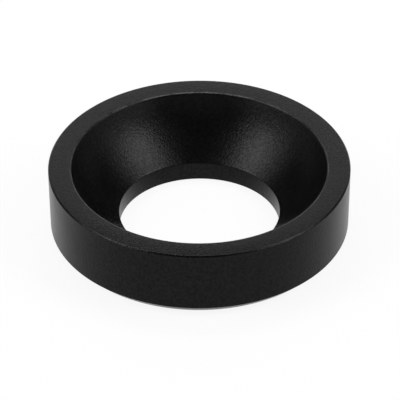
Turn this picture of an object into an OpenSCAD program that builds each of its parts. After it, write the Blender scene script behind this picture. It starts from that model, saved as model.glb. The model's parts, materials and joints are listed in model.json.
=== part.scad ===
// Flare washer, turned in one piece: a thick ring with a dished seat in its top face,
// a short straight bore under the seat, and an outer wall that tapers a little towards the base.
// The origin is the middle of the flat base, and +Z runs up the axis of the bore.

/* [Ring] */
// Outer diameter at the top of the wall
outer_d = 25.4; // [23:0.1:30]
// Height from the base to the top face
height = 6.2; // [5:0.1:9]
// Slope of the outer wall, in degrees, narrower towards the base
wall_draft = 1.6; // [0:0.1:4]

/* [Bore] */
// Diameter of the straight bore
bore_d = 13.5; // [9:0.1:16]
// Height of the bore's upper edge above the base, where the seat begins
land = 1.7; // [0.8:0.1:3]

/* [Seat] */
// Radius of the ball that the seat fits
seat_radius = 12; // [10.5:0.1:14]

/* [Edges] */
// Chamfer of the lower outer edge
base_break = 0.75; // [0.2:0.05:2]
// Chamfer of the upper outer edge
top_break = 0.12; // [0.05:0.01:0.6]
// Chamfer of the edge where the seat meets the top face
rim_break = 0.1; // [0.05:0.05:0.3]
// Chamfer of the bore's lower edge
bore_break = 0.1; // [0.05:0.05:0.4]

/* [Hidden] */
$fn = 180;

outer_r = outer_d / 2;
// Radius at the foot of the wall, where the chamfer of the lower edge begins
foot_r = outer_r - (height - top_break - base_break) * tan(wall_draft);
bore_r = bore_d / 2;
// The ball's centre is on the axis, where the ball just touches the bore's upper edge
seat_z = land + sqrt(pow(seat_radius, 2) - pow(bore_r, 2));
// The ball meets the top face in this circle, which the chamfer then widens
seat_rim_r = sqrt(pow(seat_radius, 2) - pow(seat_z - height, 2));
rim_r = seat_rim_r + rim_break;
bore_mouth_r = bore_r + bore_break;
// How far a cut runs past the surface that it starts from
overrun = 1;

// Half section of the blank, before the bore and the seat are cut
module blank_section() {
    polygon([
        [0, 0],
        [foot_r - base_break, 0],
        [foot_r, base_break],
        [outer_r, height - top_break],
        [outer_r - top_break, height],
        [0, height],
    ]);
}

// Half section of the bore, with the chamfer of its lower edge
module bore_section() {
    translate([0, -overrun])
        square([bore_r, height + 2 * overrun]);
    polygon([
        [0, -overrun],
        [bore_mouth_r + overrun, -overrun],
        [bore_mouth_r - bore_break - overrun, bore_break + overrun],
    ]);
}

// Section of the ball that leaves the seat, with the chamfer of the seat's rim
module seat_section() {
    translate([0, seat_z])
        circle(r = seat_radius);
    polygon([
        [rim_r - overrun, height - overrun],
        [rim_r + overrun, height + overrun],
        [rim_r - overrun, height + overrun],
    ]);
}

module washer() {
    color([0.16, 0.16, 0.16])
        rotate_extrude()
            difference() {
                blank_section();
                bore_section();
                seat_section();
            }
}

washer();
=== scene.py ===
# Flare washer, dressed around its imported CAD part. Lengths are in metres, in the part's own frame:
# the origin is the middle of the flat base, and +Z runs up the axis of the bore.
import json
import math

import bmesh
import bpy
from mathutils import Matrix, Quaternion, Vector


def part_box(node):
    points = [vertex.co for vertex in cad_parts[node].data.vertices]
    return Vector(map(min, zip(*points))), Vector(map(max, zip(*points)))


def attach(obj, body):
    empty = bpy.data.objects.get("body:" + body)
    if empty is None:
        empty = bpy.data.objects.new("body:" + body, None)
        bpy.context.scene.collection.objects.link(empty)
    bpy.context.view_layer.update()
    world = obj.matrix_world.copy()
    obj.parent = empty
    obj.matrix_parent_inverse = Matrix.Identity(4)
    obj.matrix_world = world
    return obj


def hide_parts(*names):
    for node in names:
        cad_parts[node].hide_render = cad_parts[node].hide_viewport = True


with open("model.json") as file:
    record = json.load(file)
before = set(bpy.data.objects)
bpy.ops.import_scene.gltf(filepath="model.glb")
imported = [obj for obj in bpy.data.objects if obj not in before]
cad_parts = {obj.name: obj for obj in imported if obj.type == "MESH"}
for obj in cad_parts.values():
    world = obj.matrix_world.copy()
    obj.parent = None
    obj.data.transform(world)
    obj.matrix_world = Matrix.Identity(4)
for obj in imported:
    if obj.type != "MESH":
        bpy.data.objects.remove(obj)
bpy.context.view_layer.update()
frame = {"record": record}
bpy.context.scene.view_settings.view_transform = "Standard"

# Washer: one ring of steel, turned to its section on a lathe, with a ball-shaped seat over a short bore.
# The outer wall tapers a little towards the base, the edges are broken, and the seat's rim is rubbed to a
# narrow lip. The ring is then fine blasted and gets a satin black oxide.
box_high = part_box("washer")[1]
outer_radius = box_high.x
height = box_high.z
bore_mount = next(m for m in frame["record"]["mounts"] if m["name"] == "bore")
bore_radius = bore_mount["dims"]["r_mm"] / 1000
land = 0.0017
ball_radius = 0.01215
wall_draft = math.radians(1.6)
foot_chamfer = 0.00078
top_chamfer = 0.00012
bore_chamfer = 0.0001
lip_width = 0.00014
lip_drop = 0.000038
fine_break = 0.00002
foot_break = 0.00003
rim_break = 0.00003
bore_round = 0.00007
edge_wear = 1.0
lip_wear = 2.0
turns = 256
seat_steps = 28
same_place = 1e-6

foot_radius = outer_radius - (height - top_chamfer - foot_chamfer) * math.tan(wall_draft)
ball_height = land + math.sqrt(ball_radius**2 - bore_radius**2)
rim_level = height - lip_drop
rim_radius = math.sqrt(ball_radius**2 - (ball_height - rim_level) ** 2)
seat_angle = math.asin(rim_radius / ball_radius) - math.asin(bore_radius / ball_radius)

# The half section, drawn as a wire in the XZ plane and then turned round the axis
shape = bmesh.new()
bore_mouth = shape.verts.new((bore_radius + bore_chamfer, 0, 0))
base_edge = shape.verts.new((foot_radius - foot_chamfer, 0, 0))
wall_foot = shape.verts.new((foot_radius, 0, foot_chamfer))
wall_top = shape.verts.new((outer_radius, 0, height - top_chamfer))
face_outer = shape.verts.new((outer_radius - top_chamfer, 0, height))
lip_edge = shape.verts.new((rim_radius + lip_width, 0, height))
seat_rim = shape.verts.new((rim_radius, 0, rim_level))
bore_foot = shape.verts.new((bore_radius, 0, bore_chamfer))
seat_arc = bmesh.ops.spin(
    shape,
    geom=[seat_rim],
    cent=(0, 0, ball_height),
    axis=(0, 1, 0),
    angle=seat_angle,
    steps=seat_steps,
    use_merge=False,
)
seat_foot = next(g for g in seat_arc["geom_last"] if isinstance(g, bmesh.types.BMVert))
for first, second in (
    (bore_mouth, base_edge),
    (base_edge, wall_foot),
    (wall_foot, wall_top),
    (wall_top, face_outer),
    (face_outer, lip_edge),
    (lip_edge, seat_rim),
    (seat_foot, bore_foot),
    (bore_foot, bore_mouth),
):
    shape.edges.new((first, second))
bmesh.ops.spin(
    shape,
    geom=shape.verts[:] + shape.edges[:],
    cent=(0, 0, 0),
    axis=(0, 0, 1),
    angle=2 * math.pi,
    steps=turns,
    use_merge=True,
)
bmesh.ops.remove_doubles(shape, verts=shape.verts[:], dist=1e-7)
bmesh.ops.recalc_face_normals(shape, faces=shape.faces[:])


def ring_edges(radius, level):
    """Finds the edges that lie on one circle of the section, at a radius and a height."""
    ring_verts = {
        vert
        for vert in shape.verts
        if abs(vert.co.z - level) < same_place and abs(vert.co.xy.length - radius) < same_place
    }
    return [edge for edge in shape.edges if all(vert in ring_verts for vert in edge.verts)]


# The lip keeps its own flat shading, and its faces are worn brighter than the broken edges
worn = shape.faces.layers.float.new("edge_wear")
for edge in ring_edges(rim_radius + lip_width, height):
    edge.smooth = False
    for face in edge.link_faces:
        if min(vert.co.z for vert in face.verts) < height - same_place:
            face[worn] = lip_wear
for radius, level, width, segments in (
    (outer_radius - top_chamfer, height, fine_break, 2),
    (outer_radius, height - top_chamfer, fine_break, 2),
    (rim_radius, rim_level, rim_break, 3),
    (bore_radius, land, bore_round, 5),
    (bore_radius, bore_chamfer, fine_break, 2),
    (bore_radius + bore_chamfer, 0, fine_break, 2),
    (foot_radius - foot_chamfer, 0, foot_break, 2),
    (foot_radius, foot_chamfer, foot_break, 2),
):
    rounded = bmesh.ops.bevel(
        shape,
        geom=ring_edges(radius, level),
        offset=width,
        offset_type="OFFSET",
        affect="EDGES",
        segments=segments,
        profile=0.5,
        material=-1,
    )
    for face in rounded["faces"]:
        face[worn] = edge_wear
for face in shape.faces:
    face.smooth = True
washer_mesh = bpy.data.meshes.new("washer_body")
shape.to_mesh(washer_mesh)
shape.free()
washer = bpy.data.objects.new("washer_body", washer_mesh)
bpy.context.scene.collection.objects.link(washer)
flat_faces = washer.modifiers.new("flat_faces", "WEIGHTED_NORMAL")
flat_faces.weight = 100
flat_faces.keep_sharp = True

black_oxide = bpy.data.materials.new("black_oxide")
black_oxide.use_nodes = True
nodes = black_oxide.node_tree.nodes
links = black_oxide.node_tree.links
steel = nodes["Principled BSDF"]
steel.inputs["Metallic"].default_value = 1.0
steel.inputs["Specular Tint"].default_value = (0.84, 0.84, 0.84, 1)
place = nodes.new("ShaderNodeTexCoord")


def noise(scale, detail, roughness):
    """Adds a noise on the piece's own coordinates; scale is in features per metre."""
    node = nodes.new("ShaderNodeTexNoise")
    node.inputs["Scale"].default_value = scale
    node.inputs["Detail"].default_value = detail
    node.inputs["Roughness"].default_value = roughness
    links.new(place.outputs["Object"], node.inputs["Vector"])
    return node.outputs["Fac"]


def spread(value, low, high):
    """Maps the middle part of a noise, from 0.3 to 0.7, to low..high."""
    node = nodes.new("ShaderNodeMapRange")
    node.inputs["From Min"].default_value = 0.3
    node.inputs["From Max"].default_value = 0.7
    node.inputs["To Min"].default_value = low
    node.inputs["To Max"].default_value = high
    links.new(value, node.inputs["Value"])
    return node.outputs["Result"]


# Grain is the fine change of shade in the oxide, pits are the blasted surface, mottle is the slow change of
# gloss, and rubbing is the uneven wear of the edges
grain = noise(4000, 2.0, 0.6)
pits = noise(6000, 2.0, 0.6)
mottle = noise(420, 3.0, 0.5)
rubbing = noise(900, 2.0, 0.6)
shade = nodes.new("ShaderNodeMix")
shade.data_type = "RGBA"
shade.inputs["A"].default_value = (0.0095, 0.0095, 0.0095, 1)
shade.inputs["B"].default_value = (0.0165, 0.0165, 0.0165, 1)
links.new(spread(grain, 0.0, 1.0), shade.inputs["Factor"])
wear = nodes.new("ShaderNodeAttribute")
wear.attribute_name = "edge_wear"
wear_amount = nodes.new("ShaderNodeMath")
wear_amount.operation = "MULTIPLY"
links.new(wear.outputs["Fac"], wear_amount.inputs[0])
links.new(spread(rubbing, 0.0, 0.3), wear_amount.inputs[1])
colour = nodes.new("ShaderNodeMix")
colour.data_type = "RGBA"
colour.inputs["B"].default_value = (0.05, 0.05, 0.05, 1)
links.new(shade.outputs["Result"], colour.inputs["A"])
links.new(wear_amount.outputs["Value"], colour.inputs["Factor"])
links.new(colour.outputs["Result"], steel.inputs["Base Color"])
links.new(spread(mottle, 0.28, 0.32), steel.inputs["Roughness"])
blasting = nodes.new("ShaderNodeBump")
blasting.inputs["Strength"].default_value = 0.6
blasting.inputs["Distance"].default_value = 0.000036
links.new(pits, blasting.inputs["Height"])
links.new(blasting.outputs["Normal"], steel.inputs["Normal"])
washer_mesh.materials.append(black_oxide)
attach(washer, "root")
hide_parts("washer")

# Studio floor: a wide sheet of white paper that turns up at its far edge, so that it fills every view.
# It shows mostly white to the camera and in reflections, and the rest of it takes the washer's shadow.
# It lies a hair below the base, so that no two faces share a plane.
floor_radius = 2.0
floor_rise = 0.6
floor_level = -0.00002
floor_shape = bmesh.new()
floor_points = [
    floor_shape.verts.new((0, 0, floor_level)),
    floor_shape.verts.new((floor_radius, 0, floor_level)),
    floor_shape.verts.new((floor_radius + floor_rise, 0, floor_rise)),
]
floor_section = [floor_shape.edges.new(pair) for pair in zip(floor_points, floor_points[1:])]
bmesh.ops.spin(
    floor_shape,
    geom=floor_points + floor_section,
    cent=(0, 0, 0),
    axis=(0, 0, 1),
    angle=2 * math.pi,
    steps=64,
    use_merge=True,
)
bmesh.ops.remove_doubles(floor_shape, verts=floor_shape.verts[:], dist=1e-6)
bmesh.ops.recalc_face_normals(floor_shape, faces=floor_shape.faces[:])
floor_mesh = bpy.data.meshes.new("studio_floor")
floor_shape.to_mesh(floor_mesh)
floor_shape.free()
floor = bpy.data.objects.new("studio_floor", floor_mesh)
bpy.context.scene.collection.objects.link(floor)

floor_white = bpy.data.materials.new("floor_white")
floor_white.use_nodes = True
nodes = floor_white.node_tree.nodes
links = floor_white.node_tree.links
nodes.clear()
output = nodes.new("ShaderNodeOutputMaterial")
paper = nodes.new("ShaderNodeBsdfDiffuse")
paper.inputs["Color"].default_value = (0.74, 0.74, 0.74, 1)
shine = nodes.new("ShaderNodeEmission")
shine.inputs["Strength"].default_value = 1.0
rays = nodes.new("ShaderNodeLightPath")
mirrored = nodes.new("ShaderNodeMath")
mirrored.operation = "MAXIMUM"
links.new(rays.outputs["Is Glossy Ray"], mirrored.inputs[0])
links.new(rays.outputs["Is Transmission Ray"], mirrored.inputs[1])
seen = nodes.new("ShaderNodeMath")
seen.operation = "MAXIMUM"
links.new(rays.outputs["Is Camera Ray"], seen.inputs[0])
links.new(mirrored.outputs["Value"], seen.inputs[1])
white_share = nodes.new("ShaderNodeMath")
white_share.operation = "MULTIPLY"
white_share.inputs[1].default_value = 0.9
links.new(seen.outputs["Value"], white_share.inputs[0])
both = nodes.new("ShaderNodeMixShader")
links.new(white_share.outputs["Value"], both.inputs["Fac"])
links.new(paper.outputs["BSDF"], both.inputs[1])
links.new(shine.outputs["Emission"], both.inputs[2])
links.new(both.outputs["Shader"], output.inputs["Surface"])
floor_mesh.materials.append(floor_white)

# Studio light: on each side a large soft box with a weaker fill, a low box for the wall and a wide card.
# A strip overhead draws the line on the seat's rim, and two panels behind light the flat top face.
# The front has one weak card, so that the back of the seat stays black between the two highlights.
target = Vector((0, 0, 0.003))


def soft_box(name, direction, long_side, distance, width, length, power):
    """Adds a lamp that faces the washer from a direction, with its length along long_side."""
    lamp = bpy.data.lights.new(name, "AREA")
    lamp.shape = "RECTANGLE"
    lamp.size = width
    lamp.size_y = length
    lamp.energy = power
    box = bpy.data.objects.new(name, lamp)
    back = Vector(direction).normalized()
    across = Vector(long_side).cross(back).normalized()
    box.matrix_world = Matrix((across, back.cross(across), back)).transposed().to_4x4()
    box.location = target + back * distance
    box.visible_camera = False
    bpy.context.scene.collection.objects.link(box)


for hand, sign in (("left", -1), ("right", 1)):
    box_lean = (-sign * 0.482, 0.688, 0.542)
    fill_lean = (-sign * 0.593, 0.516, 0.618)
    low_lean = (-sign * 0.1, 0.188, 0.977)
    soft_box(hand + "_box", (sign * 0.655, -0.129, 0.745), box_lean, 0.5, 0.2, 0.33, 1.16)
    soft_box(hand + "_fill", (sign * 0.77, 0.137, 0.624), fill_lean, 0.5, 0.14, 0.33, 0.12)
    soft_box(hand + "_low_box", (sign * 0.759, -0.621, 0.197), low_lean, 0.5, 0.12, 0.14, 0.15)
    soft_box(hand + "_card", (sign * 0.85, -0.1, 0.5), (0, 0, 1), 0.5, 0.3, 0.3, 0.22)
soft_box("top_strip", (0, 0.391, 0.921), (1, 0, 0), 0.5, 0.07, 0.3, 0.85)
soft_box("back_panel", (0, 0.809, 0.588), (1, 0, 0), 0.3, 0.06, 0.36, 0.2)
soft_box("low_panel", (0, 0.966, 0.259), (1, 0, 0), 0.25, 0.06, 0.36, 0.08)
soft_box("front_card", (0, -0.899, 0.438), (1, 0, 0), 0.5, 0.06, 0.4, 0.07)
room = bpy.data.worlds.new("dim_room")
room.use_nodes = True
room.node_tree.nodes["Background"].inputs["Color"].default_value = (0.14, 0.14, 0.14, 1)
bpy.context.scene.world = room

# Camera: a long lens from the front, about 36 degrees above the floor.
# The washer fills most of the frame's width, and the camera leans a very little to one side.
camera_distance = 0.5715
camera_elevation = math.radians(36.27)
camera_lift = 0.0001
camera_roll = -0.004
camera_data = bpy.data.cameras.new("camera")
camera_data.sensor_width = 36
camera_data.lens = 609.1
camera = bpy.data.objects.new("camera", camera_data)
camera.location = (
    0,
    -math.cos(camera_elevation) * camera_distance,
    math.sin(camera_elevation) * camera_distance + camera_lift,
)
aim = Vector((0.000046, 0.001264, 0.001823))
level_view = (aim - camera.location).to_track_quat("-Z", "Y")
camera.rotation_mode = "QUATERNION"
camera.rotation_quaternion = level_view @ Quaternion((0, 0, 1), camera_roll)
bpy.context.scene.collection.objects.link(camera)
bpy.context.scene.camera = camera
